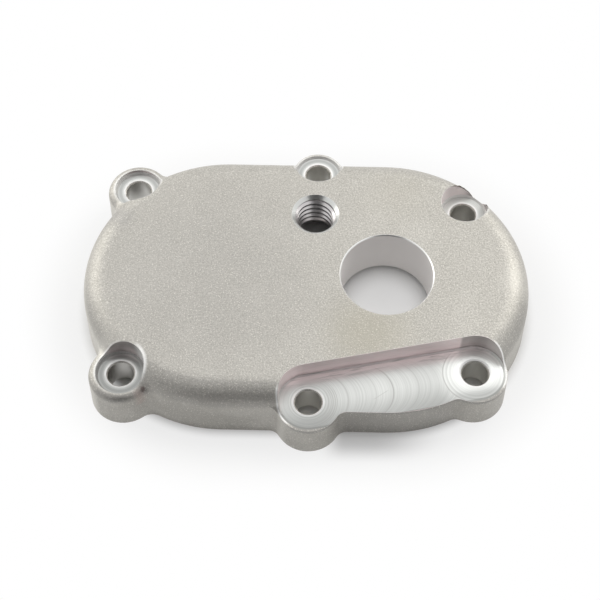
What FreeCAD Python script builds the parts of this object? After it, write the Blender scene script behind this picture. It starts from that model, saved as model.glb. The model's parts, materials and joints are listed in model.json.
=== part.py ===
# Die cast gearbox cover: one aluminium casting with a shaft bore, a threaded filler
# hole, six bolt bosses and a milled clearance along the front.
# Millimetres. The origin is the shaft bore's axis at the mounting face, +Z out of the cover
# and +X along its long centre line.
import FreeCAD, Part
import math
import os
import Sketcher

doc = FreeCAD.newDocument("cast_cover")


# Driving dimensions
SIZES = {
    # the cast shell
    "cover_height": 16.3,
    "end_radius": 37.15,
    "left_end_x": -41.3,
    "right_end_x": 0,
    "middle_y": 0.25,
    "wall": 4.5,
    "plate": 4.5,
    "draft": 1.8,
    "top_round": 6.5,
    # the bolt bosses and what is machined into them
    "boss_radius": 8.45,
    "boss_height": 11.8,
    "boss_round": 2,
    "boss_blend": 4,
    "back_boss_radius": 7.1,
    "back_boss_height": 11,
    "back_boss_blend": 2,
    "front_boss_blend": 3,
    "seat_height": 10.5,
    "seat_radius": 6.2,
    "seat_corner": 0.5,
    "bolt_hole_radius": 3.3,
    "bolt_hole_chamfer": 0.35,
    "relief_radius": 4.5,
    "relief_depth": 2.2,
    # each bolt's place, from the outline's furthest left or right, and from its back or front
    "bolt_a_from_left": 12.15,
    "bolt_a_from_back": 8.9,
    "bolt_b_x": -18,
    "bolt_b_from_back": 2.5,
    "bolt_c_from_right": 16.4,
    "bolt_c_from_back": 14.5,
    "bolt_d_from_left": 12.15,
    "bolt_d_from_front": 9.75,
    "bolt_e_x": -19.45,
    "bolt_e_from_front": 2.85,
    "bolt_f_from_right": 15.15,
    "bolt_f_from_front": 11.75,
    # the milled clearance between the two front bolts
    "cutter_radius": 7.5,
    "cutter_corner": 0.4,
    "land_wall": 3.2,
    # the shaft bore
    "bore_radius": 11.85,
    "bore_chamfer": 0.25,
    "bore_boss_wall": 4.6,
    "bore_boss_setback": 1.8,
    # the threaded filler hole
    "thread_x": -18.55,
    "thread_y": 18.2,
    "thread_radius": 5.3,
    "thread_chamfer": 0.9,
    "thread_boss_wall": 4.7,
    "thread_boss_length": 10.2,
    # columns, ribs and rounds of the hollow underside
    "column_radius": 8,
    "rib_half_thickness": 1.4,
    "rib_depth": 4,
    "hollow_round": 2.5,
}

sheet = doc.addObject("Spreadsheet::Sheet", "Sizes")
for row, (name, value) in enumerate(SIZES.items(), start=1):
    sheet.set(f"A{row}", name)
    sheet.set(f"B{row}", str(value))
    sheet.setAlias(f"B{row}", name)
doc.recompute()


def size(name):
    """A driving dimension, read from the sheet."""
    return float(sheet.get(name))


CLOSE = 0.002
LEFT = "Sizes.left_end_x - Sizes.end_radius"
RIGHT = "Sizes.right_end_x + Sizes.end_radius"
BACK = "Sizes.middle_y + Sizes.end_radius"
FRONT = "Sizes.middle_y - Sizes.end_radius"
BOLTS = [
    (f"{LEFT} + Sizes.bolt_a_from_left", f"{BACK} - Sizes.bolt_a_from_back"),
    ("Sizes.bolt_b_x", f"{BACK} - Sizes.bolt_b_from_back"),
    (f"{RIGHT} - Sizes.bolt_c_from_right", f"{BACK} - Sizes.bolt_c_from_back"),
    (f"{LEFT} + Sizes.bolt_d_from_left", f"{FRONT} + Sizes.bolt_d_from_front"),
    ("Sizes.bolt_e_x", f"{FRONT} + Sizes.bolt_e_from_front"),
    (f"{RIGHT} - Sizes.bolt_f_from_right", f"{FRONT} + Sizes.bolt_f_from_front"),
]
SEATED_BOLTS = BOLTS[:4]
FRONT_BOLTS = BOLTS[4:]
CORNER_BOLTS = [BOLTS[0], BOLTS[3]]
BACK_BOLT = [BOLTS[1]]
LEFT_END = ("Sizes.left_end_x", "Sizes.middle_y")
RIGHT_END = ("Sizes.right_end_x", "Sizes.middle_y")
BORE = ("0", "0")
FILLER = ("Sizes.thread_x", "Sizes.thread_y")


def worked_out(text):
    """The value of an expression that adds and subtracts sizes."""
    total = 0
    sign = 1
    for word in text.split():
        if word in "+-":
            sign = 1 if word == "+" else -1
        else:
            total += sign * (size(word.replace("Sizes.", "")) if "Sizes." in word else float(word))
    return total


def place(point):
    """The x and y of a point that is given as two expressions."""
    return FreeCAD.Vector(*[worked_out(text) for text in point])


def new_sketch(body, name, height="0"):
    """A sketch on the body's own XY plane, lifted to a height."""
    plane = next(item for item in body.Origin.OriginFeatures if item.Role == "XY_Plane")
    sketch = body.newObject("Sketcher::SketchObject", name)
    sketch.AttachmentSupport = [(plane, "")]
    sketch.MapMode = "FlatFace"
    sketch.setExpression("AttachmentOffset.Base.z", height)
    return sketch


def fix_centre(sketch, element, point):
    """Ties the centre of an arc or circle to a named place."""
    for kind, text, value in zip(("DistanceX", "DistanceY"), point, place(point)):
        if text == "0":
            axis = -2 if kind == "DistanceX" else -1
            sketch.addConstraint(Sketcher.Constraint("PointOnObject", element, 3, axis))
            continue
        index = sketch.addConstraint(Sketcher.Constraint(kind, -1, 1, element, 3, value))
        sketch.setExpression(f"Constraints[{index}]", text)


def fix_radius(sketch, element, radius):
    index = sketch.addConstraint(Sketcher.Constraint("Radius", element, worked_out(radius)))
    sketch.setExpression(f"Constraints[{index}]", radius)


def circles(body, name, points, radius, height="0"):
    """A sketch of equal circles."""
    sketch = new_sketch(body, name, height)
    up = FreeCAD.Vector(0, 0, 1)
    for point in points:
        element = sketch.addGeometry(Part.Circle(place(point), up, worked_out(radius)))
        fix_centre(sketch, element, point)
        fix_radius(sketch, element, radius)
    return sketch


def slot(body, name, start, end, radius, height="0"):
    """A sketch of a slot: two equal arcs joined by two lines that touch them."""
    sketch = new_sketch(body, name, height)
    up = FreeCAD.Vector(0, 0, 1)
    first = place(start)
    last = place(end)
    along = last - first
    turn = math.atan2(along.y, along.x)
    quarter = math.pi / 2
    reach = worked_out(radius)
    side = FreeCAD.Vector(-math.sin(turn), math.cos(turn)) * reach
    arc_start = Part.ArcOfCircle(Part.Circle(first, up, reach), turn + quarter, turn + 3 * quarter)
    arc_end = Part.ArcOfCircle(Part.Circle(last, up, reach), turn - quarter, turn + quarter)
    line_low = Part.LineSegment(first - side, last - side)
    line_high = Part.LineSegment(last + side, first + side)
    edges = [sketch.addGeometry(item) for item in (arc_start, line_low, arc_end, line_high)]
    for index, edge in enumerate(edges):
        sketch.addConstraint(Sketcher.Constraint("Tangent", edge, 2, edges[(index + 1) % 4], 1))
    fix_centre(sketch, edges[0], start)
    fix_centre(sketch, edges[2], end)
    fix_radius(sketch, edges[0], radius)
    sketch.addConstraint(Sketcher.Constraint("Equal", edges[0], edges[2]))
    return sketch


def pad(body, name, sketch, length, taper=None):
    feature = body.newObject("PartDesign::Pad", name)
    feature.Profile = sketch
    feature.setExpression("Length", length)
    if taper:
        feature.setExpression("TaperAngle", taper)
    doc.recompute()
    return feature


def pocket(body, name, sketch, length, taper=None):
    """Cuts upward from its sketch."""
    feature = body.newObject("PartDesign::Pocket", name)
    feature.Profile = sketch
    feature.Reversed = True
    feature.setExpression("Length", length)
    if taper:
        feature.setExpression("TaperAngle", taper)
    doc.recompute()
    return feature


def expect_less(body, before, name):
    """Stops the build if a body's volume isn't below what it was."""
    if not 0 < body.Shape.Volume < before:
        raise ValueError(f"{name} cut nothing")


def points_on(edge):
    """Four points along an edge, clear of its ends."""
    span = edge.LastParameter - edge.FirstParameter
    return [edge.valueAt(edge.FirstParameter + span * share) for share in (0.02, 0.3, 0.7, 0.98)]


def lies_at(height):
    """A test for edges that lie flat at a height."""
    return lambda edge: all(abs(point.z - height) < CLOSE for point in points_on(edge))


def circle_at(height, radius):
    """A test for whole or part circles of one radius that lie flat at a height."""

    def test(edge):
        round_edge = edge.Curve.TypeId == "Part::GeomCircle"
        return round_edge and abs(edge.Curve.Radius - radius) < CLOSE and lies_at(height)(edge)

    return test


def where_they_meet(first, second, shoulder):
    """A test for the edges where two joined forms meet. Level ones count only above the shoulder."""
    skins = [Part.makeCompound(shape.Faces) for shape in (first, second)]

    def test(edge):
        points = points_on(edge)
        heights = [point.z for point in points]
        if max(heights) - min(heights) < CLOSE and max(heights) < shoulder:
            return False
        spots = [Part.Vertex(point) for point in points]
        return all(skin.distToShape(spot)[0] < CLOSE for skin in skins for spot in spots)

    return test


def dress(body, kind, name, base, test, expression):
    """Rounds or chamfers the edges that pass a test."""
    names = [f"Edge{index}" for index, edge in enumerate(base.Shape.Edges, start=1) if test(edge)]
    if not names:
        raise ValueError(f"{name} finds no edge")
    feature = body.newObject(f"PartDesign::{kind}", name)
    feature.Base = (base, names)
    feature.setExpression("Radius" if kind == "Fillet" else "Size", expression)
    doc.recompute()
    return feature


def new_body(name):
    body = doc.addObject("PartDesign::Body", name)
    body.Label = name
    return body


def combine(body, name, tools, kind):
    """Joins other bodies to this one, or cuts them away."""
    before = body.Shape.Volume
    feature = body.newObject("PartDesign::Boolean", name)
    feature.setObjects(tools)
    feature.Type = kind
    doc.recompute()
    grown = body.Shape.Volume > before
    if grown != (kind == "Fuse"):
        raise ValueError(f"{name} changes nothing")
    return feature


def boss_group(name, bolts, radius, height, rim=None):
    """Round drafted bosses at some of the bolts, with a rounded rim where one is named."""
    body = new_body(name)
    sketch = circles(body, f"{name}_circles", bolts, f"Sizes.{radius}")
    plain = pad(body, f"{name}_pad", sketch, f"Sizes.{height}", "-Sizes.draft")
    if rim:
        dress(body, "Fillet", f"{name}_rims", plain, lies_at(size(height)), f"Sizes.{rim}")
    return body


# The bolt bosses that stand out of the wall: two large ones at the left, a small one at
# the back, and two in front that end flush with the floor of the milled clearance
corner_bosses = boss_group("corner_bosses", CORNER_BOLTS, "boss_radius", "boss_height", "boss_round")
back_boss = boss_group("back_boss", BACK_BOLT, "back_boss_radius", "back_boss_height")
front_bosses = boss_group("front_bosses", FRONT_BOLTS, "boss_radius", "seat_height")

# The core: the space inside the cover, with hollows for its columns, bosses and ribs
core = new_body("core")
hollow_depth = "Sizes.cover_height - Sizes.plate"
core_outline = slot(core, "core_outline", LEFT_END, RIGHT_END, "Sizes.end_radius - Sizes.wall")
core_block = pad(core, "core_block", core_outline, hollow_depth, "-Sizes.draft")
dress(core, "Fillet", "core_round", core_block, lies_at(worked_out(hollow_depth)), "Sizes.hollow_round")
solid_core = core.Shape.Volume
columns = circles(core, "column_circles", BOLTS, "Sizes.column_radius")
pocket(core, "columns", columns, hollow_depth, "Sizes.draft")
land = slot(core, "land_slot", *FRONT_BOLTS, "Sizes.cutter_radius + Sizes.land_wall")
pocket(core, "land", land, hollow_depth, "Sizes.draft")
bore_boss = circles(
    core,
    "bore_boss_circle",
    [BORE],
    "Sizes.bore_radius + Sizes.bore_boss_wall",
    "Sizes.bore_boss_setback",
)
pocket(core, "bore_boss", bore_boss, hollow_depth, "Sizes.draft")
filler_boss = circles(
    core,
    "filler_boss_circle",
    [FILLER],
    "Sizes.thread_radius + Sizes.thread_boss_wall",
    "Sizes.cover_height - Sizes.thread_boss_length",
)
pocket(core, "filler_boss", filler_boss, hollow_depth, "Sizes.draft")
rib_height = "Sizes.cover_height - Sizes.plate - Sizes.rib_depth"
for letter, bolt in zip("acd", (BOLTS[0], BOLTS[2], BOLTS[3])):
    rib = slot(core, f"rib_{letter}_slot", BORE, bolt, "Sizes.rib_half_thickness", rib_height)
    pocket(core, f"rib_{letter}", rib, hollow_depth)
expect_less(core, solid_core, "the columns, bosses and ribs")

# The cutters: round ones for the bolt seats and one that runs from bolt to bolt in front
seat_cutters = new_body("seat_cutters")
seat_circles = circles(
    seat_cutters, "seat_circles", SEATED_BOLTS, "Sizes.seat_radius", "Sizes.seat_height"
)
seats = pad(seat_cutters, "seats", seat_circles, "Sizes.cover_height")
seat_floor = lies_at(size("seat_height"))
dress(seat_cutters, "Chamfer", "seat_corners", seats, seat_floor, "Sizes.seat_corner")
front_cutter = new_body("front_cutter")
cutter_path = slot(
    front_cutter, "cutter_path", *FRONT_BOLTS, "Sizes.cutter_radius", "Sizes.seat_height"
)
milled = pad(front_cutter, "milled", cutter_path, "Sizes.cover_height")
dress(front_cutter, "Chamfer", "cutter_corners", milled, seat_floor, "Sizes.cutter_corner")

# The cover itself: a slot-shaped block with drafted walls and a large rounded top edge
cover = new_body("gearbox_cover")
outline = slot(cover, "outline", LEFT_END, RIGHT_END, "Sizes.end_radius")
block = pad(cover, "block", outline, "Sizes.cover_height", "-Sizes.draft")
top_edge = lies_at(size("cover_height"))
rounded_block = dress(cover, "Fillet", "rounded_top", block, top_edge, "Sizes.top_round")
blended = combine(cover, "with_bosses", [corner_bosses, back_boss, front_bosses], "Fuse")
shoulder = size("cover_height") - size("top_round")
for group, blend in (
    (corner_bosses, "boss_blend"),
    (back_boss, "back_boss_blend"),
    (front_bosses, "front_boss_blend"),
):
    meeting = where_they_meet(rounded_block.Shape, group.Shape, shoulder)
    blended = dress(cover, "Fillet", f"{group.Name}_blend", blended, meeting, f"Sizes.{blend}")
combine(cover, "hollow", [core], "Cut")

# Machining: seats, front clearance, shaft bore, filler hole and bolt holes
combine(cover, "cut_seats", [seat_cutters], "Cut")
combine(cover, "cut_front", [front_cutter], "Cut")
before_drilling = cover.Shape.Volume
bore_circle = circles(cover, "bore_circle", [BORE], "Sizes.bore_radius")
bore = pocket(cover, "bore", bore_circle, "Sizes.cover_height")
bore_edge = circle_at(size("cover_height"), size("bore_radius"))
dress(cover, "Chamfer", "bore_edge", bore, bore_edge, "Sizes.bore_chamfer")
filler_circle = circles(cover, "filler_circle", [FILLER], "Sizes.thread_radius")
filler = pocket(cover, "filler", filler_circle, "Sizes.cover_height")
filler_edge = circle_at(size("cover_height"), size("thread_radius"))
dress(cover, "Chamfer", "filler_edge", filler, filler_edge, "Sizes.thread_chamfer")
hole_circles = circles(cover, "hole_circles", BOLTS, "Sizes.bolt_hole_radius")
holes = pocket(cover, "holes", hole_circles, "Sizes.cover_height")
hole_edges = circle_at(size("seat_height"), size("bolt_hole_radius"))
dress(cover, "Chamfer", "hole_edges", holes, hole_edges, "Sizes.bolt_hole_chamfer")
relief_circles = circles(cover, "relief_circles", BOLTS, "Sizes.relief_radius")
pocket(cover, "hole_reliefs", relief_circles, "Sizes.relief_depth")
expect_less(cover, before_drilling, "the drilling")

for item in doc.Objects:
    if "Invalid" in item.State or "Error" in item.State:
        raise ValueError(f"{item.Name} failed: {item.State}")
if cover.Shape.isNull() or not cover.Shape.isValid():
    raise ValueError("the cover's shape is not sound")

os.makedirs("parts", exist_ok=True)
cover.Shape.exportStep(f"parts/{cover.Label}.step")
box = cover.Shape.BoundBox
print(f"solids {len(cover.Shape.Solids)}, faces {len(cover.Shape.Faces)}")
print(f"volume {cover.Shape.Volume:.0f} mm3")
print(f"box {box.XLength:.2f} x {box.YLength:.2f} x {box.ZLength:.2f} mm")
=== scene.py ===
import json
import math

import bpy
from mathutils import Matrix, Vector, noise
from mathutils.bvhtree import BVHTree


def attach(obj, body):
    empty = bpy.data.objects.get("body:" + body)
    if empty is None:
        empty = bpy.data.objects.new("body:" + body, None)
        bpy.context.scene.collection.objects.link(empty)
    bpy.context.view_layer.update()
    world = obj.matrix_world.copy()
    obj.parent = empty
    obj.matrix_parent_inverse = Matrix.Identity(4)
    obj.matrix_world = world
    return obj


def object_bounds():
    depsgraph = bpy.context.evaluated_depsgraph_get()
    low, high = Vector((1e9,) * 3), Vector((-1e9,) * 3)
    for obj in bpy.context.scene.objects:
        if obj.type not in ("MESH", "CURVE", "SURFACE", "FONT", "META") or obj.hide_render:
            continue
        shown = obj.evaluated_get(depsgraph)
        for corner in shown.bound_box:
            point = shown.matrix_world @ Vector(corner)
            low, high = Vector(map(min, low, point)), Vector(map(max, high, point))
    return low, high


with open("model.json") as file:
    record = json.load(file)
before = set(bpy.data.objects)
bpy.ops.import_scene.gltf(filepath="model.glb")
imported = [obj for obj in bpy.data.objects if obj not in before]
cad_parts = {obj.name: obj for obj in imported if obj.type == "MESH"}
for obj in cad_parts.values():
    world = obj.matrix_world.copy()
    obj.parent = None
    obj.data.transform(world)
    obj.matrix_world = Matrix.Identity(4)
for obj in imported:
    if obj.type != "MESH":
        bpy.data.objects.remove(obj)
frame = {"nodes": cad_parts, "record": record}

MM = 0.001
COVER = frame["nodes"]["gearbox_cover"]
CAD_LOW, CAD_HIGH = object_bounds()


def plan(x, y):
    """A point of the plan, given in millimetres."""
    return Vector((x, y, 0)) * MM


# The mounts give the bore, the filler hole and the size of the bolt holes
MOUNTS = {mount["name"]: mount for mount in frame["record"]["mounts"]}
BORE = Vector(MOUNTS["shaft_bore"]["pos_m"])
BORE_RADIUS = MOUNTS["shaft_bore"]["dims"]["r_mm"] * MM
FILLER = Vector(MOUNTS["filler_thread"]["pos_m"])
THREAD_RADIUS = MOUNTS["filler_thread"]["dims"]["r_mm"] * MM
HOLE_RADIUS = MOUNTS["left_bolts"]["dims"]["hole_r_mm"] * MM

# The bolt holes' places in plan
BOLTS = {
    "a": plan(-66.3, 28.5),
    "b": plan(-18.0, 34.9),
    "c": plan(20.75, 22.9),
    "d": plan(-66.3, -27.15),
    "e": plan(-19.45, -34.05),
    "f": plan(22.0, -25.15),
}

# The holes with a round seat of their own, and those among them whose wall isn't torn
SEATED = "abcd"
WHOLE_SEATS = "abd"

# Sizes of the casting and of what is cut into it
COVER_HEIGHT = CAD_HIGH.z
END_RADIUS = CAD_HIGH.x
LEFT_END_X = -41.3 * MM
MIDDLE_Y = 0.25 * MM
SEAT_HEIGHT = 10.5 * MM
SEAT_RADIUS = 6.2 * MM
CUTTER_RADIUS = 7.5 * MM
CUTTER_PATH = BOLTS["f"] - BOLTS["e"]
PATH_LENGTH = CUTTER_PATH.length
BORE_CHAMFER = 0.25 * MM

# How far the masks of cut places reach past them, and the widths over which masks fade
PAST_SEAT = 0.05 * MM
PAST_HOLE = 0.06 * MM
PAST_CHAMFER = 0.03 * MM
BELOW_SEAT = 0.08 * MM
PLAN_EDGE = 0.06 * MM
HEIGHT_EDGE = 0.04 * MM

# The thread's ridge. Half its width at the wall and at the crest is in pitches, what it takes to
# rise from the wall and to sink back is in turns, and its least height is a share of its depth.
THREAD_CHAMFER = 0.9 * MM
THREAD_PITCH = 1.87 * MM
THREAD_DEPTH = 0.65 * MM
THREAD_FOOT = 6.12 * MM
THREAD_STEPS = 72
RIDGE_AT_WALL = 0.47
RIDGE_AT_CREST = 0.17
TURNS_TO_RISE = 0.25
TURNS_TO_SINK = 0.4
LEAST_HEIGHT = 0.04

# The torn lips beside seat c: name, first and last angle in degrees, and greatest height
TORN_LIPS = (("torn_edge_back", 52, 128, 0.75 * MM), ("torn_edge_right", -8, 28, 0.45 * MM))
TORN_STEPS = 64

# The camera, as the photograph's perspective gives it
PHOTO_WIDTH = 600
FOCAL_PIXELS = 1400
SENSOR_WIDTH = 36
CAMERA_TURN = math.radians(1.25)
CAMERA_RISE = math.radians(58.75)
CAMERA_DISTANCE = 0.3599
CAMERA_TARGET = Vector((-22.10, -4.73, 10.5)) * MM

# Colours of the cast skin
CAST_DARK = (0.385, 0.37, 0.337, 1)
CAST_PALE = (0.61, 0.59, 0.55, 1)
# GLINT is the colour of painted highlights and painted glints on the skin
GLINT = (0.86, 0.84, 0.78, 1)
WARM_STAIN = (0.42, 0.395, 0.325, 1)
# A darker tone laid over patches of the skin
DARK_PATCH = (0.35, 0.34, 0.33, 1)
NICK_COLOUR = (0.22, 0.17, 0.16, 1)
NICK_SMEAR = (0.56, 0.42, 0.38, 1)
TORN_DARK = (0.13, 0.11, 0.09, 1)
TORN_PALE = (0.42, 0.38, 0.34, 1)

# Colours of the machined places
MILLED = (0.70, 0.71, 0.69)
MILLED_WALL = (0.88, 0.78, 0.78, 1)
# The colour of painted highlights on rims, chamfers, edges beside the cuts and the sides of seat walls
RIM_HIGHLIGHT = (0.93, 0.93, 0.92, 1)
# The colour of tool marks, streaks, a smudge and blotches, and of painted shade
MARK_AND_SHADE = (0.30, 0.29, 0.28, 1)
DRILLED = (0.84, 0.83, 0.79, 1)
THREAD = (0.60, 0.58, 0.58, 1)
BORED = (0.84, 0.82, 0.81, 1)
# Painted light: the torn wall of seat c is near white, standing in for light the lamps don't bring to it
LIT_TORN_WALL = (1.0, 0.93, 0.93, 1)
HOLE_SHADOWS = {"a": 0.35, "d": 0.5}
# Painted reflection: each seat's floor has its own brightness, though all of them face the same way
PAINTED_SEAT_REFLECTIONS = {"a": 0.72, "b": 0.71, "c": 1.0, "d": 0.5}

# How rough and how metallic the skin, the cut places and the dull ones among them are
SKIN_ROUGHNESS, CUT_ROUGHNESS, DULL_ROUGHNESS = 0.5, 0.3, 0.6
SKIN_METAL, CUT_METAL, DULL_METAL, C_WALL_METAL = 0.55, 0.95, 0.45, 0.1
GRAIN_SIZE = 0.43 * MM
GRAIN_DEPTH = 0.07 * MM
SPECKLE_SHARE = 0.85
LINE_DEPTH = 0.03 * MM

# Spacing of the tool lines, by the place they are on, and noise per metre for the wall's streaks
LINE_SPACING = {
    "sweep": 0.42 * MM,
    "round e": 0.3 * MM,
    "round f": 0.5 * MM,
    "seat": 0.45 * MM,
    "joint face": 0.6 * MM,
    "wall": 0.35 * MM,
}
STREAKS_ALONG = 110.0
STREAKS_UP = 1500.0
STREAKS_ACROSS = 1100.0

# Painted highlights round the bolt holes, dark rings in the seats, and painted highlights on the edges
# beside the cuts and on a band right of seat d
RIM_WIDTH = 0.4 * MM
RIM_REACH = 0.5 * MM
RING_RADIUS = 4.9 * MM
RING_WIDTH = 0.8 * MM
RING_SHADE = 0.78
EDGE_HIGHLIGHT_OUT = 0.25 * MM
EDGE_HIGHLIGHT_WIDTH = 0.45 * MM
BAND_OUT = 0.3 * MM
BAND_WIDTH = 0.9 * MM

# Painted reflection along the milled floor, brighter towards f, with a dip past the middle for its tool
# marks: from and to, in shares of its length, and from and to in shade
ALONG_SHADES = (
    (0.0, 0.45, 0.72, 0.88),
    (0.45, 0.7, 0.0, -0.07),
    (0.74, 0.92, 0.0, 0.4),
)

# Marks on the milled floor. Each arc of the sweep has its place along the path, width and strength.
SWEEP_ARCS = (
    (2.5 * MM, 0.35 * MM, 0.35),
    (4.6 * MM, 0.2 * MM, 0.2),
    (9.6 * MM, 0.2 * MM, 0.25),
    (13.9 * MM, 0.22 * MM, 0.75),
    (20.3 * MM, 0.2 * MM, 0.2),
)
E_ARCS = (5.1 * MM, 5.7 * MM, 6.2 * MM, 6.7 * MM, 7.2 * MM)
E_ARC_WIDTH = 0.17 * MM
F_RING = 8.1 * MM
F_RING_WIDTH = 0.22 * MM
SCRATCH_START = plan(-3.5, -33.1)
SCRATCH_END = plan(0.5, -30.2)
SCRATCH_WIDTH = 0.13 * MM
FACE_MILL = plan(-20, -160)

# Stains, darker patches and painted highlights on the skin: centre, radius, softness, strength, colour and
# lowest height
PLATE_EDGE = COVER_HEIGHT - 0.3 * MM
SHOULDER_FOOT = 8.5 * MM
STAINS_AND_HIGHLIGHTS = (
    (plan(-5, -17), 9 * MM, 14 * MM, 0.6, WARM_STAIN, PLATE_EDGE),
    (plan(3, 26), 6 * MM, 16 * MM, 0.25, WARM_STAIN, PLATE_EDGE),
    # Darker patches on the plate's left and on the left shoulder towards the back
    (plan(-48, -3), 30 * MM, 40 * MM, 0.34, DARK_PATCH, PLATE_EDGE),
    (plan(-69.8, 16.6), 3 * MM, 5 * MM, 0.6, DARK_PATCH, SHOULDER_FOOT),
    # Painted highlights on the left and right shoulders
    (plan(-71.3, -21), 2 * MM, 4 * MM, 0.55, GLINT, SHOULDER_FOOT),
    (plan(33.6, -1), 4 * MM, 8 * MM, 0.22, GLINT, SHOULDER_FOOT),
)
BLEMISH_RADIUS = 7.4 * MM
BLEMISH_WIDTH = 1.1 * MM
BLEMISH_FOOT = 9.3 * MM
NICK = plan(-60.3, -31.9)
NICK_RADIUS = 0.65 * MM
NICK_REACH = 1.15 * MM
NICK_FOOT = 7 * MM
RAGGEDNESS = 0.4 * MM
SMEAR = NICK + plan(-0.9, -1.2)
SMEAR_RADIUS = 1.2 * MM
SMEAR_SOFTNESS = 1.8 * MM

# Floor, card and light. The floor turns white in two steps, each with its start and end counted
# out from the cover's edge and its share. A lamp has its name, place, aim, width, depth, brightness
# and colour.
FLOOR_HALF = 1.5
FLOOR_COLOUR = (0.86, 0.86, 0.86, 1)
CARD_COLOUR = (0.02, 0.02, 0.02, 1)
CARD_CORNERS = [(-0.42, -0.5, 0.02), (0.36, -0.5, 0.02), (0.36, -0.6, 0.95), (-0.42, -0.6, 0.95)]
MATT = 0.9
FLOOR_SHEEN = 0.1
GLOW_STEPS = ((-2 * MM, 3 * MM, 0.76), (1 * MM, 19 * MM, 0.24))
# Painted light: the floor seen through the bore glows with this share of white
BORE_GLOW = 0.4
BORE_GLOW_RADIUS = 10 * MM
BORE_GLOW_EDGE = 9 * MM
WORLD_LIGHT = 0.43
WHITE = (1, 1, 1)
WARM = (1, 0.985, 0.93)
LAMPS = (
    ("overhead_light", (-0.02, 0.47, 0.66), (-0.02, 0, 0), 0.9, 0.5, 1.6, WHITE),
    ("left_light", (-0.66, 0.38, 0.34), (-0.06, 0, 0), 0.6, 0.75, 5.7, WARM),
    ("right_light", (0.53, 0.42, 0.45), (0.02, 0, 0), 0.45, 0.5, 10.9, WARM),
)

SOCKETS = {"number": "NodeSocketFloat", "vector": "NodeSocketVector"}


class Nodes:
    """The node tree of a material, a group or the world, with short names for what is placed in it."""

    def __init__(self, tree):
        self.tree = tree

    def feed(self, item, inputs):
        """Sets a node's inputs. Each is a number, a colour, a vector or another node's output."""
        for name, value in inputs.items():
            if isinstance(value, bpy.types.NodeSocket):
                self.tree.links.new(value, item.inputs[name])
            else:
                item.inputs[name].default_value = value

    def put(self, kind, inputs=None, **settings):
        """Adds a node with its settings and inputs."""
        item = self.tree.nodes.new(kind)
        for name, value in settings.items():
            setattr(item, name, value)
        self.feed(item, inputs or {})
        return item

    def use(self, group, **inputs):
        """Places a group, with its inputs given by name, and returns its outputs."""
        return self.put("ShaderNodeGroup", inputs, node_tree=group).outputs

    def maths(self, operation, *values):
        """A Math node's output."""
        return self.put("ShaderNodeMath", dict(enumerate(values)), operation=operation).outputs[0]

    def plus(self, first, second):
        return self.maths("ADD", first, second)

    def minus(self, first, second):
        return self.maths("SUBTRACT", first, second)

    def times(self, first, *others):
        """The product of numbers or masks."""
        for other in others:
            first = self.maths("MULTIPLY", first, other)
        return first

    def largest(self, first, *others):
        """The largest of numbers, or a mask that is on where any of several masks is."""
        for other in others:
            first = self.maths("MAXIMUM", first, other)
        return first

    def size(self, value):
        """A number without its sign."""
        return self.maths("ABSOLUTE", value)

    def root_of_squares(self, first, second):
        """The length of the hypotenuse over two sides."""
        return self.maths("SQRT", self.plus(self.times(first, first), self.times(second, second)))

    def blend(self, amount, first, second):
        """One colour at amount 0 and the other at 1."""
        inputs = {0: amount, 6: first, 7: second}
        return self.put("ShaderNodeMix", inputs, data_type="RGBA").outputs[2]

    def fade(self, amount, first, second):
        """One number at amount 0 and the other at 1."""
        inputs = {0: amount, 2: first, 3: second}
        return self.put("ShaderNodeMix", inputs, data_type="FLOAT").outputs[0]

    def ramp(self, value, low, high, to_low=0.0, to_high=1.0):
        """Takes a value from the range low to high smoothly to another range."""
        inputs = {"Value": value, 1: low, 2: high, 3: to_low, 4: to_high}
        return self.put("ShaderNodeMapRange", inputs, interpolation_type="SMOOTHSTEP").outputs[0]

    def line(self, value, place, width):
        """A mask that is 1 where a value meets a place, and fades to 0 over a width on both sides."""
        return self.ramp(self.size(self.minus(value, place)), 0.0, width, 1.0, 0.0)

    def parts(self, vector):
        """A vector's X, Y and Z."""
        return self.put("ShaderNodeSeparateXYZ", {0: vector}).outputs

    def noise(self, vector, scale, **inputs):
        """A Noise Texture's value at a point."""
        inputs = {"Vector": vector, "Scale": scale, **inputs}
        return self.put("ShaderNodeTexNoise", inputs).outputs[0]

    def noise_along(self, position, scale, detail):
        """The value of noise that changes along one direction only."""
        inputs = {"W": position, "Scale": scale, "Detail": detail}
        return self.put("ShaderNodeTexNoise", inputs, noise_dimensions="1D").outputs[0]


def new_group(name, inputs, outputs):
    """An empty shader node group with named numbers and vectors in and out."""
    tree = bpy.data.node_groups.new(name, "ShaderNodeTree")
    for label, kind in inputs.items():
        tree.interface.new_socket(label, in_out="INPUT", socket_type=SOCKETS[kind])
    for label in outputs:
        tree.interface.new_socket(label, in_out="OUTPUT", socket_type=SOCKETS["number"])
    nodes = Nodes(tree)
    return nodes, nodes.put("NodeGroupInput").outputs, nodes.put("NodeGroupOutput")


def round_area_group():
    """How far a point is from an upright axis, and a mask that is 1 within a radius of it."""
    nodes, given, made = new_group(
        "Round area",
        {"Point": "vector", "Centre": "vector", "Radius": "number", "Edge": "number"},
        ["Inside", "Distance"],
    )
    in_plan = nodes.put("ShaderNodeVectorMath", {0: given["Point"], 1: (1, 1, 0)}, operation="MULTIPLY")
    to_axis = {0: in_plan.outputs[0], 1: given["Centre"]}
    away = nodes.put("ShaderNodeVectorMath", to_axis, operation="DISTANCE").outputs["Value"]
    past = nodes.maths("DIVIDE", nodes.minus(away, given["Radius"]), given["Edge"])
    nodes.feed(made, {"Inside": nodes.ramp(past, -0.5, 0.5, 1.0, 0.0), "Distance": away})
    return nodes.tree


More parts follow.
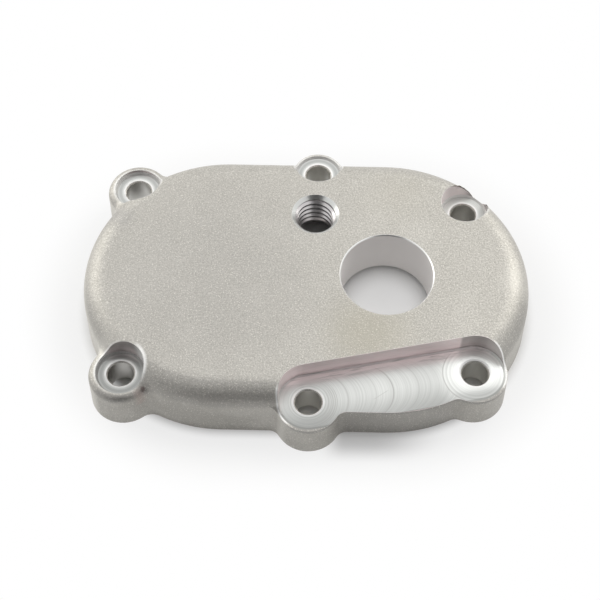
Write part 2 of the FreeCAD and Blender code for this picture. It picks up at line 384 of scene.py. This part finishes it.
def tool_lines_group():
    """Uneven lines that run across one direction, such as the marks of a turned or milled face."""
    nodes, given, made = new_group("Tool lines", {"Position": "number", "Spacing": "number"}, ["Height"])
    steps = nodes.maths("DIVIDE", given["Position"], given["Spacing"])
    fine = nodes.noise_along(steps, 1.0, 2.0)
    broad = nodes.noise_along(steps, 0.17, 1.0)
    nodes.feed(made, {"Height": nodes.plus(nodes.times(fine, 0.6), nodes.times(broad, 0.4))})
    return nodes.tree


def cast_grain_group():
    """The grain of a blasted casting: a fine peened relief, pale and dark specks, and broad patches."""
    nodes, given, made = new_group(
        "Cast grain",
        {"Point": "vector", "Grain": "number"},
        ["Height", "Speckle", "Patch", "Glint"],
    )
    point = given["Point"]
    per_metre = nodes.maths("DIVIDE", 1.0, given["Grain"])
    fine = nodes.noise(point, per_metre, Detail=3.0, Roughness=0.7)
    wide = nodes.noise(point, nodes.times(per_metre, 0.3), Detail=3.0, Roughness=0.5)
    patch = nodes.noise(point, nodes.times(per_metre, 0.04), Detail=2.0)
    tiny = nodes.noise(point, nodes.times(per_metre, 1.5), Detail=1.0)
    nodes.feed(made, {
        "Height": nodes.plus(fine, wide),
        "Speckle": nodes.ramp(fine, 0.32, 0.68),
        "Patch": nodes.ramp(patch, 0.3, 0.7),
        "Glint": nodes.ramp(tiny, 0.6, 0.7),
    })
    return nodes.tree


ROUND_AREA = round_area_group()
TOOL_LINES = tool_lines_group()
CAST_GRAIN = cast_grain_group()


def new_material(name):
    """A material with a tree that holds only a Principled BSDF and the output."""
    material = bpy.data.materials.new(name)
    material.use_nodes = True
    shader = next(item for item in material.node_tree.nodes if item.type == "BSDF_PRINCIPLED")
    return material, shader


def set_plain(shader, **values):
    """Sets values that are the same all over a surface on the shader itself."""
    for name, value in values.items():
        shader.inputs[name.replace("_", " ")].default_value = value


class CoverNodes(Nodes):
    """The nodes of the cover's material, with where a point of the cover lies."""

    def __init__(self, tree):
        super().__init__(tree)
        self.point = self.put("ShaderNodeTexCoord").outputs["Object"]
        self.x, self.y, self.z = self.parts(self.point)
        facing = self.put("ShaderNodeNewGeometry").outputs
        steepness = self.size(self.parts(facing["True Normal"])[2])
        self.upright = self.ramp(steepness, 0.3, 0.8, 1.0, 0.0)
        self.level = self.minus(1.0, self.upright)
        self.lean_x, self.lean_y, self.lean_z = self.parts(facing["Normal"])
        self.over_seat = self.above(SEAT_HEIGHT - BELOW_SEAT)
        self.seats = {letter: self.area(BOLTS[letter], SEAT_RADIUS + PAST_SEAT) for letter in SEATED}
        self.holes = {letter: self.area(BOLTS[letter], HOLE_RADIUS + PAST_HOLE) for letter in BOLTS}
        self.bore = self.area(BORE, BORE_RADIUS + BORE_CHAMFER + PAST_CHAMFER)["Inside"]
        self.filler = self.area(FILLER, THREAD_RADIUS + THREAD_CHAMFER + PAST_CHAMFER)["Inside"]
        self.sideways = {letter: self.size(self.minus(self.x, BOLTS[letter].x)) for letter in SEATED}
        self.from_path, self.along, self.across = self.cutter_path()

    def area(self, centre, radius, edge=PLAN_EDGE):
        """The Round area of an upright axis: its mask and the distance from it."""
        in_plan = (centre.x, centre.y, 0)
        return self.use(ROUND_AREA, Point=self.point, Centre=in_plan, Radius=radius, Edge=edge)

    def above(self, height, edge=HEIGHT_EDGE):
        """A mask that is 1 above a height."""
        return self.ramp(self.z, height - edge, height + edge)

    def tool_lines(self, position, place):
        """The height of tool lines across a direction, with the spacing of the place they are on."""
        return self.use(TOOL_LINES, Position=position, Spacing=LINE_SPACING[place])["Height"]

    def along_and_across(self, origin, direction):
        """Places along and across a line of the plan, counted from a point of it."""
        x = self.minus(self.x, origin.x)
        y = self.minus(self.y, origin.y)
        along = self.plus(self.times(x, direction.x), self.times(y, direction.y))
        across = self.minus(self.times(y, direction.x), self.times(x, direction.y))
        return along, across

    def cutter_path(self):
        """Distance from the line between the two front bolts, and places along and across it."""
        along, across = self.along_and_across(BOLTS["e"], CUTTER_PATH.normalized())
        before = self.maths("MAXIMUM", self.times(along, -1.0), 0.0)
        after = self.maths("MAXIMUM", self.minus(along, PATH_LENGTH), 0.0)
        return self.root_of_squares(self.plus(before, after), across), along, across

    def near_segment(self, start, end, width):
        """A mask for a narrow straight mark between two points of the plan."""
        along, across = self.along_and_across((start + end) / 2, (end - start).normalized())
        half = (end - start).length / 2
        within = self.ramp(self.size(along), half * 0.7, half, 1.0, 0.0)
        return self.times(within, self.line(across, 0.0, width))


def rim_highlight_mask(at):
    """The painted highlight ring round each bolt hole, calmer in its front half."""
    near = [at.area(place, HOLE_RADIUS + RIM_WIDTH)["Inside"] for place in BOLTS.values()]
    for letter, place in BOLTS.items():
        ring = at.line(at.holes[letter]["Distance"], HOLE_RADIUS + RIM_REACH, RIM_REACH)
        front_to_back = at.ramp(at.y, place.y - 1.5 * MM, place.y + 0.5 * MM, 0.3, 1.0)
        near.append(at.times(ring, front_to_back))
    return at.times(at.largest(*near), at.over_seat, at.level)


def tell_machined_places(at):
    """Masks that tell the machined places from the cast skin, and from each other."""
    in_seats = at.times(at.largest(*(seat["Inside"] for seat in at.seats.values())), at.over_seat)
    at.hole_walls = at.times(at.largest(*(hole["Inside"] for hole in at.holes.values())), at.upright)
    reach = CUTTER_RADIUS + PAST_SEAT
    near_path = at.ramp(at.from_path, reach - PLAN_EDGE / 2, reach + PLAN_EDGE / 2, 1.0, 0.0)
    at.milled = at.times(near_path, at.over_seat)
    at.joint_face = at.ramp(at.z, 0.02 * MM, 0.06 * MM, 1.0, 0.0)
    at.rims = rim_highlight_mask(at)
    at.c_wall = at.times(at.seats["c"]["Inside"], at.over_seat, at.upright)
    at.machined = at.largest(
        in_seats, at.hole_walls, at.bore, at.filler, at.milled, at.joint_face, at.rims
    )


def side_walls(at):
    """Painted highlights on the left and right of the walls of the whole seats, which catch the light."""
    sides = [
        at.times(at.seats[letter]["Inside"], at.ramp(at.sideways[letter], 2.6 * MM, 4.8 * MM, 0.0, 0.85))
        for letter in WHOLE_SEATS
    ]
    return at.times(at.largest(*sides), at.over_seat, at.upright)


def dull_places(at):
    """Cut places that don't shine: corners, rims, the torn seat, the bore and the thread's mouth."""
    near_path_edge = at.ramp(at.from_path, CUTTER_RADIUS - 0.6 * MM, CUTTER_RADIUS - 0.35 * MM)
    low = at.ramp(at.z, SEAT_HEIGHT + 0.4 * MM, SEAT_HEIGHT + 0.5 * MM, 1.0, 0.0)
    cutter_corner = at.times(near_path_edge, at.milled, low)
    near_seat_edges = [
        at.times(at.ramp(seat["Distance"], SEAT_RADIUS - 0.6 * MM, SEAT_RADIUS - 0.4 * MM), seat["Inside"])
        for seat in at.seats.values()
    ]
    low = at.ramp(at.z, SEAT_HEIGHT + 0.55 * MM, SEAT_HEIGHT + 0.65 * MM, 1.0, 0.0)
    seat_corner = at.times(at.largest(*near_seat_edges), at.over_seat, low)
    front_of_mouth = at.ramp(at.y, FILLER.y - 4 * MM, FILLER.y - 1 * MM, 0.8, 0.0)
    mouth = at.times(at.filler, at.level, front_of_mouth)
    c_floor = at.times(at.seats["c"]["Inside"], at.over_seat, at.level)
    bore_wall = at.times(at.bore, at.upright)
    return at.largest(
        at.rims, cutter_corner, seat_corner, at.c_wall, c_floor, mouth, bore_wall, at.side_walls
    )


def milled_floor(at):
    """Lines and marks that the cutter left on its way from hole e to hole f."""
    squared = at.minus(CUTTER_RADIUS ** 2, at.times(at.across, at.across))
    half_chord = at.maths("SQRT", at.maths("MAXIMUM", squared, 0.0))
    sweep = at.minus(at.along, half_chord)
    from_e = at.holes["e"]["Distance"]
    from_f = at.holes["f"]["Distance"]
    near_e = at.ramp(from_e, CUTTER_RADIUS, CUTTER_RADIUS * 1.25, 1.0, 0.0)
    at.near_f = at.ramp(from_f, F_RING - 0.1 * MM, F_RING + 0.1 * MM, 1.0, 0.0)
    sweep_lines = at.ramp(at.tool_lines(sweep, "sweep"), 0.0, 1.0, 0.25, 0.75)
    e_lines = at.tool_lines(from_e, "round e")
    f_lines = at.tool_lines(from_f, "round f")
    lines = at.fade(at.near_f, at.fade(near_e, sweep_lines, e_lines), f_lines)

    between = at.times(at.minus(1.0, near_e), at.minus(1.0, at.near_f))
    arcs = [at.times(at.line(sweep, place, width), strength) for place, width, strength in SWEEP_ARCS]
    f_side = at.ramp(at.along, PATH_LENGTH - 0.8 * F_RING, PATH_LENGTH - 0.4 * F_RING, 1.0, 0.0)
    f_arc = at.times(at.line(from_f, F_RING, F_RING_WIDTH), 0.6, f_side)
    right_of_e = at.ramp(at.along, 1.5 * MM, 3.5 * MM, 0.0, 0.55)
    front_of_e = at.ramp(at.across, 1.5 * MM, 4 * MM, 1.0, 0.2)
    e_rings = [at.line(from_e, radius, E_ARC_WIDTH) for radius in E_ARCS]
    e_arcs = at.times(at.largest(*e_rings), right_of_e, front_of_e)
    scratch = at.times(at.near_segment(SCRATCH_START, SCRATCH_END, SCRATCH_WIDTH), 0.5)
    marks = at.largest(at.times(at.largest(*arcs), between), f_arc, scratch, e_arcs)
    return lines, at.times(marks, at.milled, at.level)


def machined_lines(at, floor_lines):
    """The height of the tool lines on every machined place."""
    in_seat = at.largest(*(at.times(seat["Distance"], seat["Inside"]) for seat in at.seats.values()))
    lines = at.fade(at.milled, at.tool_lines(in_seat, "seat"), floor_lines)
    from_face_mill = at.area(FACE_MILL, CUTTER_RADIUS)["Distance"]
    lines = at.fade(at.joint_face, lines, at.tool_lines(from_face_mill, "joint face"))
    return at.fade(at.upright, lines, at.tool_lines(at.z, "wall"))


def wall_streaks(at):
    """Wavering streaks along the wall that the cutter's side left."""
    stretched = at.put("ShaderNodeCombineXYZ", {
        0: at.times(at.along, STREAKS_ALONG),
        1: at.times(at.z, STREAKS_UP),
        2: at.times(at.across, STREAKS_ACROSS),
    }).outputs[0]
    return at.ramp(at.noise(stretched, 1.0, Detail=3.0, Distortion=0.8), 0.5, 0.68)


def mottled_skin(at):
    """Pale and dark specks, which are weaker on the walls, with stains, darker patches and painted
    highlights.
    """
    mottle = at.fade(SPECKLE_SHARE, at.grain["Patch"], at.grain["Speckle"])
    on_walls = at.ramp(at.grain["Patch"], 0.0, 1.0, 0.25, 0.75)
    mottle = at.fade(at.times(at.upright, 0.6), mottle, on_walls)
    colour = at.blend(mottle, CAST_DARK, CAST_PALE)
    for centre, radius, softness, strength, tint, lowest in STAINS_AND_HIGHLIGHTS:
        spot = at.times(at.area(centre, radius, softness)["Inside"], strength)
        colour = at.blend(at.times(spot, at.above(lowest, 0.25 * MM)), colour, tint)
    return colour


def painted_light_on_skin(at, colour):
    """Painted shade on the front shoulder, the wall between e and f and the ledge under e; a painted
    highlight on the left.
    """
    rounded = at.times(at.ramp(at.lean_z, 0.1, 0.35), at.ramp(at.lean_z, 0.96, 0.999, 1.0, 0.0))
    front_shoulder = at.times(rounded, at.ramp(at.lean_y, -0.25, -0.05, 0.38, 0.0))
    middle_wall = at.times(
        at.ramp(at.x, -14 * MM, -9 * MM, 0.0, 0.4),
        at.ramp(at.x, 13 * MM, 20 * MM, 1.0, 0.0),
        at.upright,
        at.ramp(at.y, -30 * MM, -25 * MM, 1.0, 0.0),
    )
    under_e = at.times(
        at.ramp(at.from_path, CUTTER_RADIUS + 0.9 * MM, CUTTER_RADIUS + 1.2 * MM, 0.65, 0.0),
        at.ramp(at.across, -6.5 * MM, -5 * MM, 1.0, 0.0),
        at.above(SEAT_HEIGHT - 1 * MM, 0.3 * MM),
    )
    colour = at.blend(at.largest(front_shoulder, middle_wall, under_e), colour, MARK_AND_SHADE)
    left_side_highlight = at.times(
        at.ramp(at.lean_x, -0.85, -0.6, 0.45, 0.0), at.ramp(at.lean_z, 0.1, 0.6, 1.0, 0.0)
    )
    return at.blend(left_side_highlight, colour, GLINT)


def blemished_skin(at, colour):
    """A dark smudge below the rim of hole d."""
    below_rim = at.times(
        at.line(at.holes["d"]["Distance"], BLEMISH_RADIUS, BLEMISH_WIDTH),
        at.ramp(at.y, BOLTS["d"].y - 6 * MM, BOLTS["d"].y - 4 * MM, 1.0, 0.0),
        at.above(BLEMISH_FOOT, 0.5 * MM),
        at.ramp(at.grain["Patch"], 0.2, 0.8, 0.25, 0.8),
    )
    return at.blend(below_rim, colour, MARK_AND_SHADE)


def edge_highlights_on_skin(at, colour):
    """Painted highlights on the skin's edges beside the cuts, and a painted highlight band to the right of
    seat d.
    """
    edges = []
    for letter, seat in at.seats.items():
        place = BOLTS[letter]
        edges.append(at.times(
            at.line(seat["Distance"], SEAT_RADIUS + EDGE_HIGHLIGHT_OUT, EDGE_HIGHLIGHT_WIDTH),
            at.ramp(at.sideways[letter], 1.5 * MM, 4.5 * MM, 0.35, 1.0),
            at.ramp(at.y, place.y - 4 * MM, place.y, 0.2, 0.65),
        ))
    edges.append(at.times(
        at.line(at.from_path, CUTTER_RADIUS + EDGE_HIGHLIGHT_OUT, EDGE_HIGHLIGHT_WIDTH),
        at.ramp(at.across, -6 * MM, -4 * MM),
    ))
    off_plate = at.ramp(at.z, COVER_HEIGHT - 0.9 * MM, COVER_HEIGHT - 0.1 * MM, 1.0, 0.0)
    colour = at.blend(at.times(at.largest(*edges), at.over_seat, off_plate), colour, RIM_HIGHLIGHT)
    place = BOLTS["d"]
    highlight_right_of_d = at.times(
        at.line(at.seats["d"]["Distance"], SEAT_RADIUS + BAND_OUT, BAND_WIDTH),
        at.ramp(at.x, place.x + 3 * MM, place.x + 5.5 * MM, 0.0, 0.8),
        at.ramp(at.y, place.y - 4 * MM, place.y - 1 * MM),
        at.over_seat,
    )
    return at.blend(highlight_right_of_d, colour, RIM_HIGHLIGHT)


def skin_colour(at):
    """The colour of the cast skin."""
    colour = painted_light_on_skin(at, mottled_skin(at))
    # Painted glints: tiny specks of the grain brightened towards GLINT
    colour = at.blend(at.times(at.grain["Glint"], 0.6), colour, GLINT)
    return edge_highlights_on_skin(at, blemished_skin(at, colour))


def clearance_shade(at):
    """Painted light on the floor of the milled clearance: how bright it is along it and across it."""
    along = 0.0
    for start, end, from_shade, to_shade in ALONG_SHADES:
        change = at.ramp(at.along, start * PATH_LENGTH, end * PATH_LENGTH, from_shade, to_shade)
        along = at.plus(along, change)
    along = at.fade(at.milled, 1.0, along)
    across = at.fade(at.milled, 1.0, at.ramp(at.across, -CUTTER_RADIUS, 0.5 * MM, 0.65, 1.0))
    front_of_f = at.times(at.near_f, at.ramp(at.across, -6.5 * MM, -3 * MM, 1.0, 0.0))
    return at.times(along, across, at.ramp(front_of_f, 0.0, 1.0, 1.0, 0.76))


def level_colour(at, lines, floor_marks, streaks):
    """The colour of the machined places that lie level."""
    shade = 1.0
    # Painted reflection: each seat's floor has its own brightness
    for letter, reflection_shade in PAINTED_SEAT_REFLECTIONS.items():
        shade = at.fade(at.seats[letter]["Inside"], shade, reflection_shade)
    line_shade = at.ramp(lines, 0.25, 0.75, 0.8, 1.03)
    rings = [at.line(at.seats[letter]["Distance"], RING_RADIUS, RING_WIDTH) for letter in WHOLE_SEATS]
    ring_shade = at.ramp(at.largest(*rings), 0.0, 1.0, 1.0, RING_SHADE)
    shade = at.times(shade, line_shade, clearance_shade(at), ring_shade)
    shade = at.fade(at.joint_face, shade, line_shade)
    colour = at.put("ShaderNodeVectorMath", {0: MILLED, "Scale": shade}, operation="SCALE").outputs[0]
    colour = at.blend(floor_marks, colour, MARK_AND_SHADE)
    # Painted reflection of the wall in the floor at its foot
    wall_reflection = at.times(at.ramp(at.across, 3.4 * MM, CUTTER_RADIUS), at.milled, 0.75)
    colour = at.blend(wall_reflection, colour, at.blend(at.times(streaks, 0.6), MILLED_WALL, MARK_AND_SHADE))
    # Painted highlight on the bore's chamfer and on the rims round the bolt holes
    chamfer_highlight = at.times(at.bore, at.level)
    return at.blend(at.largest(at.rims, chamfer_highlight), colour, RIM_HIGHLIGHT)


def milled_wall_colour(at, streaks):
    """The colour of the wall behind the milled clearance, which is darker at its right end."""
    fading_up = at.ramp(at.z, SEAT_HEIGHT + 0.5 * MM, SEAT_HEIGHT + 3.5 * MM, 1.0, 0.25)
    colour = at.blend(at.times(streaks, fading_up, at.upright, 0.3), MILLED_WALL, MARK_AND_SHADE)
    right_end = at.ramp(at.along, PATH_LENGTH - 2.5 * MM, PATH_LENGTH - 1.5 * MM)
    return at.blend(at.times(right_end, at.milled, 0.75), colour, MARK_AND_SHADE)


def upright_colour(at, streaks):
    """The colour of the machined places that stand upright."""
    colour = at.blend(at.hole_walls, milled_wall_colour(at, streaks), DRILLED)
    for letter, strength in HOLE_SHADOWS.items():
        colour = at.blend(at.times(at.holes[letter]["Inside"], strength), colour, MARK_AND_SHADE)
    colour = at.blend(at.bore, colour, BORED)
    in_a_or_d = at.largest(at.seats["a"]["Inside"], at.seats["d"]["Inside"])
    high_up = at.ramp(at.z, SEAT_HEIGHT + 1.5 * MM, SEAT_HEIGHT + 4 * MM, 0.0, 0.7)
    colour = at.blend(at.times(in_a_or_d, high_up), colour, MARK_AND_SHADE)
    # Painted highlight on the sides of the seat walls
    colour = at.blend(at.side_walls, colour, RIM_HIGHLIGHT)
    place = BOLTS["c"]
    blotches = at.times(
        at.ramp(at.grain["Patch"], 0.3, 0.7, 0.0, 0.75),
        at.ramp(at.x, place.x - 1 * MM, place.x + 2.5 * MM),
    )
    # Painted light: the torn wall of seat c, near white, with dark blotches
    colour = at.blend(at.c_wall, colour, at.blend(blotches, LIT_TORN_WALL, MARK_AND_SHADE))
    colour = at.blend(at.holes["c"]["Inside"], colour, DRILLED)
    return at.blend(at.filler, colour, THREAD)


def nicked(at, colour):
    """A small dark nick beside seat d, with a smear."""
    ragged = at.plus(at.area(NICK, 1.0)["Distance"], at.times(at.grain["Height"], RAGGEDNESS))
    on_shoulder = at.above(NICK_FOOT, 0.5 * MM)
    smear = at.times(at.area(SMEAR, SMEAR_RADIUS, SMEAR_SOFTNESS)["Inside"], on_shoulder, 0.3)
    colour = at.blend(smear, colour, NICK_SMEAR)
    nick = at.times(at.ramp(ragged, NICK_RADIUS, NICK_REACH, 0.8, 0.0), on_shoulder)
    return at.blend(nick, colour, NICK_COLOUR)


def cover_relief(at, lines):
    """Tool lines on the machined places and grain on the skin."""
    on_cuts = {"Height": lines, "Distance": LINE_DEPTH, "Strength": at.machined}
    tool_bump = at.put("ShaderNodeBump", on_cuts)
    return at.put("ShaderNodeBump", {
        "Height": at.grain["Height"],
        "Distance": GRAIN_DEPTH,
        "Strength": at.minus(1.0, at.machined),
        "Normal": tool_bump.outputs[0],
    }).outputs[0]


def cover_material():
    """Cast skin everywhere but on the machined places, which are told apart by where they are."""
    material, shader = new_material("cast_and_machined_aluminium")
    at = CoverNodes(material.node_tree)
    at.grain = at.use(CAST_GRAIN, Point=at.point, Grain=GRAIN_SIZE)
    tell_machined_places(at)
    at.side_walls = side_walls(at)
    dull = dull_places(at)
    floor_lines, floor_marks = milled_floor(at)
    lines = machined_lines(at, floor_lines)
    streaks = wall_streaks(at)
    machined_colour = at.blend(
        at.upright, level_colour(at, lines, floor_marks, streaks), upright_colour(at, streaks)
    )
    colour = nicked(at, at.blend(at.machined, skin_colour(at), machined_colour))
    roughness = at.fade(dull, at.fade(at.machined, SKIN_ROUGHNESS, CUT_ROUGHNESS), DULL_ROUGHNESS)
    metallic = at.fade(dull, at.fade(at.machined, SKIN_METAL, CUT_METAL), DULL_METAL)
    at.feed(shader, {
        "Base Color": colour,
        "Roughness": roughness,
        "Metallic": at.fade(at.c_wall, metallic, C_WALL_METAL),
        "Normal": cover_relief(at, lines),
    })
    return material


def thread_material():
    """Bare cut aluminium."""
    material, shader = new_material("cut_thread")
    set_plain(shader, Base_Color=THREAD, Metallic=1.0, Roughness=0.28)
    return material


def torn_material():
    """The dull edge of torn cast skin."""
    material, shader = new_material("torn_edge")
    nodes = Nodes(material.node_tree)
    point = nodes.put("ShaderNodeTexCoord").outputs["Object"]
    speckle = nodes.use(CAST_GRAIN, Point=point, Grain=GRAIN_SIZE)["Speckle"]
    nodes.feed(shader, {"Base Color": nodes.blend(speckle, TORN_DARK, TORN_PALE)})
    set_plain(shader, Metallic=0.6, Roughness=0.5)
    return material


def new_object(name, vertices, faces, material):
    """A mesh object with one material."""
    mesh = bpy.data.meshes.new(name)
    mesh.from_pydata(vertices, [], faces)
    mesh.validate()
    mesh.materials.append(material)
    item = bpy.data.objects.new(name, mesh)
    bpy.context.scene.collection.objects.link(item)
    return item


def add_band(name, rings, material):
    """A closed band on the cover, whose rings of corners follow each other, with both ends capped."""
    corners = len(rings[0])
    vertices = [vertex for ring in rings for vertex in ring]
    faces = [tuple(range(corners))[::-1], tuple(range(len(vertices) - corners, len(vertices)))]
    for step in range(len(rings) - 1):
        for corner in range(corners):
            here = step * corners + corner
            beside = step * corners + (corner + 1) % corners
            faces.append((here, beside, beside + corners, here + corners))
    piece = new_object(name, vertices, faces, material)
    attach(piece, "root")


def thread_ridge():
    """One right-hand helical ridge on the wall of the filler hole, fading at its two ends."""
    wall = THREAD_RADIUS + 0.04 * MM
    top = COVER_HEIGHT - THREAD_CHAMFER
    steps = round((top - THREAD_FOOT) / THREAD_PITCH * THREAD_STEPS)
    rings = []
    for step in range(steps + 1):
        turns = step / THREAD_STEPS
        angle = 2 * math.pi * turns
        height = THREAD_FOOT + THREAD_PITCH * turns
        to_end = (steps - step) / THREAD_STEPS
        fullness = min(1.0, turns / TURNS_TO_RISE, to_end / TURNS_TO_SINK)
        crest = THREAD_RADIUS - THREAD_DEPTH * max(fullness, LEAST_HEIGHT)
        ring = []
        for radius, offset in (
            (wall, -RIDGE_AT_WALL),
            (crest, -RIDGE_AT_CREST),
            (crest, RIDGE_AT_CREST),
            (wall, RIDGE_AT_WALL),
        ):
            level = min(max(height + offset * THREAD_PITCH, THREAD_FOOT), top - (wall - radius))
            around = Vector((radius * math.cos(angle), radius * math.sin(angle), level))
            ring.append(FILLER.xy.to_3d() + around)
        rings.append(ring)
    add_band("filler_thread", rings, thread_material())


def lip_rise(share, peak):
    """How high a torn lip stands at a share of its length: jagged, and low at its two ends."""
    jag = 0.5 + 0.5 * noise.noise(Vector((share * 11, 3.7, peak / MM)))
    jag += 0.25 * noise.noise(Vector((share * 37, 9.1, 0)))
    return peak * max(0.05, jag) * math.sin(math.pi * share) ** 0.6


def lip_ring(outward, level, rise):
    """The four corners of a torn lip's section, which leans outward from the seat's edge."""
    sunk = 0.15 * MM
    lean = outward * 0.12 * MM
    edge = BOLTS["c"] + outward * (SEAT_RADIUS + 0.04 * MM)
    low = edge.xy.to_3d() + Vector((0, 0, level - sunk))
    high = low + Vector((0, 0, rise + sunk)) + lean * 0.5
    return [low, high, high + lean * 0.6, low + lean * 1.8]


def torn_edge():
    """The thin jagged lip that stands where the back right seat breaks out of the shoulder."""
    corners = [vertex.co for vertex in COVER.data.vertices]
    surface = BVHTree.FromPolygons(corners, [face.vertices for face in COVER.data.polygons])
    material = torn_material()
    for name, first, last, peak in TORN_LIPS:
        rings = []
        for step in range(TORN_STEPS + 1):
            share = step / TORN_STEPS
            angle = math.radians(first + (last - first) * share)
            outward = Vector((math.cos(angle), math.sin(angle), 0))
            over_edge = BOLTS["c"] + outward * (SEAT_RADIUS + 0.09 * MM) + Vector((0, 0, 30 * MM))
            hit = surface.ray_cast(over_edge, Vector((0, 0, -1)))[0]
            if hit is not None and hit.z >= SEAT_HEIGHT:
                rings.append(lip_ring(outward, hit.z, lip_rise(share, peak)))
        add_band(name, rings, material)


def seen_directly(nodes):
    """Is 1 for rays that show a thing itself, in a mirror or through glass, and 0 for other light."""
    path = nodes.put("ShaderNodeLightPath").outputs
    return nodes.largest(path["Is Camera Ray"], path["Is Glossy Ray"], path["Is Transmission Ray"])


def floor_glow(nodes):
    """The share of white in the floor: little at the cover's foot, all of it 19 mm away."""
    point = nodes.put("ShaderNodeTexCoord").outputs["Object"]
    x, y, _ = nodes.parts(point)
    nearest_x = nodes.maths("MINIMUM", nodes.maths("MAXIMUM", x, LEFT_END_X), 0.0)
    away = nodes.root_of_squares(nodes.minus(x, nearest_x), nodes.minus(y, MIDDLE_Y))
    steps = [
        nodes.ramp(away, END_RADIUS + start, END_RADIUS + end, 0.0, share)
        for start, end, share in GLOW_STEPS
    ]
    shadow_beside_e = nodes.times(
        nodes.ramp(x, -17 * MM, -10 * MM),
        nodes.ramp(x, -4 * MM, 17 * MM, 1.0, 0.0),
        nodes.ramp(y, -30 * MM, -20 * MM, 0.62, 0.0),
        nodes.ramp(away, END_RADIUS + 2.5 * MM, END_RADIUS + 9 * MM, 1.0, 0.0),
    )
    around = nodes.times(nodes.plus(*steps), nodes.minus(1.0, shadow_beside_e))
    in_bore = nodes.use(
        ROUND_AREA, Point=point, Centre=(0, 0, 0), Radius=BORE_GLOW_RADIUS, Edge=BORE_GLOW_EDGE
    )["Inside"]
    return nodes.largest(around, nodes.times(in_bore, BORE_GLOW))


def make_floor():
    """A pale floor that keeps the cover's shadow and turns white away from it."""
    material, shader = new_material("pale_floor")
    set_plain(shader, Base_Color=FLOOR_COLOUR, Roughness=MATT, Specular_IOR_Level=FLOOR_SHEEN)
    nodes = Nodes(material.node_tree)
    white = nodes.put("ShaderNodeEmission", {"Color": (*WHITE, 1), "Strength": 1.0})
    share = nodes.times(seen_directly(nodes), floor_glow(nodes))
    mixed = nodes.put("ShaderNodeMixShader", {0: share, 1: shader.outputs[0], 2: white.outputs[0]})
    output = next(item for item in nodes.tree.nodes if item.type == "OUTPUT_MATERIAL")
    nodes.feed(output, {"Surface": mixed.outputs[0]})
    half = FLOOR_HALF
    corners = [(-half, -half, 0), (half, -half, 0), (half, half, 0), (-half, half, 0)]
    floor = new_object("floor", corners, [(0, 1, 2, 3)], material)


def make_dark_card():
    """A black card in front, which gives the metal its dark side. The camera doesn't see it."""
    material, shader = new_material("black_card")
    set_plain(shader, Base_Color=CARD_COLOUR, Roughness=MATT)
    card = new_object("dark_card", CARD_CORNERS, [(0, 1, 2, 3)], material)
    card.visible_camera = False


def make_world():
    """White behind the cover, and a plain soft light on it."""
    world = bpy.data.worlds.new("studio")
    bpy.context.scene.world = world
    world.use_nodes = True
    nodes = Nodes(world.node_tree)
    background = next(item for item in nodes.tree.nodes if item.type == "BACKGROUND")
    strength = nodes.fade(seen_directly(nodes), WORLD_LIGHT, 1.0)
    nodes.feed(background, {"Color": (*WHITE, 1), "Strength": strength})


def add_facing(item, direction):
    """Puts a lamp or a camera in the scene, turned to face along a direction."""
    item.rotation_mode = "QUATERNION"
    item.rotation_quaternion = direction.to_track_quat("-Z", "Y")
    bpy.context.scene.collection.objects.link(item)


def make_lamp(name, place, aim, width, depth, brightness, colour):
    """A rectangular soft light that faces a point, with a brightness per area."""
    lamp = bpy.data.lights.new(name, "AREA")
    lamp.shape = "RECTANGLE"
    lamp.size = width
    lamp.size_y = depth
    lamp.energy = brightness * width * depth
    lamp.color = colour
    item = bpy.data.objects.new(name, lamp)
    item.location = place
    add_facing(item, Vector(aim) - Vector(place))


def make_camera():
    """The photograph's camera, a little to one side of the cover's front and high above it."""
    camera = bpy.data.cameras.new("camera")
    camera.sensor_width = SENSOR_WIDTH
    camera.lens = SENSOR_WIDTH * FOCAL_PIXELS / PHOTO_WIDTH
    camera.clip_start = 0.01
    ahead = Vector((-math.sin(CAMERA_TURN), math.cos(CAMERA_TURN), 0))
    back = -ahead * math.cos(CAMERA_RISE) + Vector((0, 0, math.sin(CAMERA_RISE)))
    item = bpy.data.objects.new("camera", camera)
    item.location = CAMERA_TARGET + back * CAMERA_DISTANCE
    add_facing(item, -back)
    bpy.context.scene.camera = item


COVER.data.materials.clear()
COVER.data.materials.append(cover_material())
thread_ridge()
torn_edge()
make_floor()
make_dark_card()
make_world()
for lamp in LAMPS:
    make_lamp(*lamp)
make_camera()
bpy.context.scene.view_settings.view_transform = "Standard"
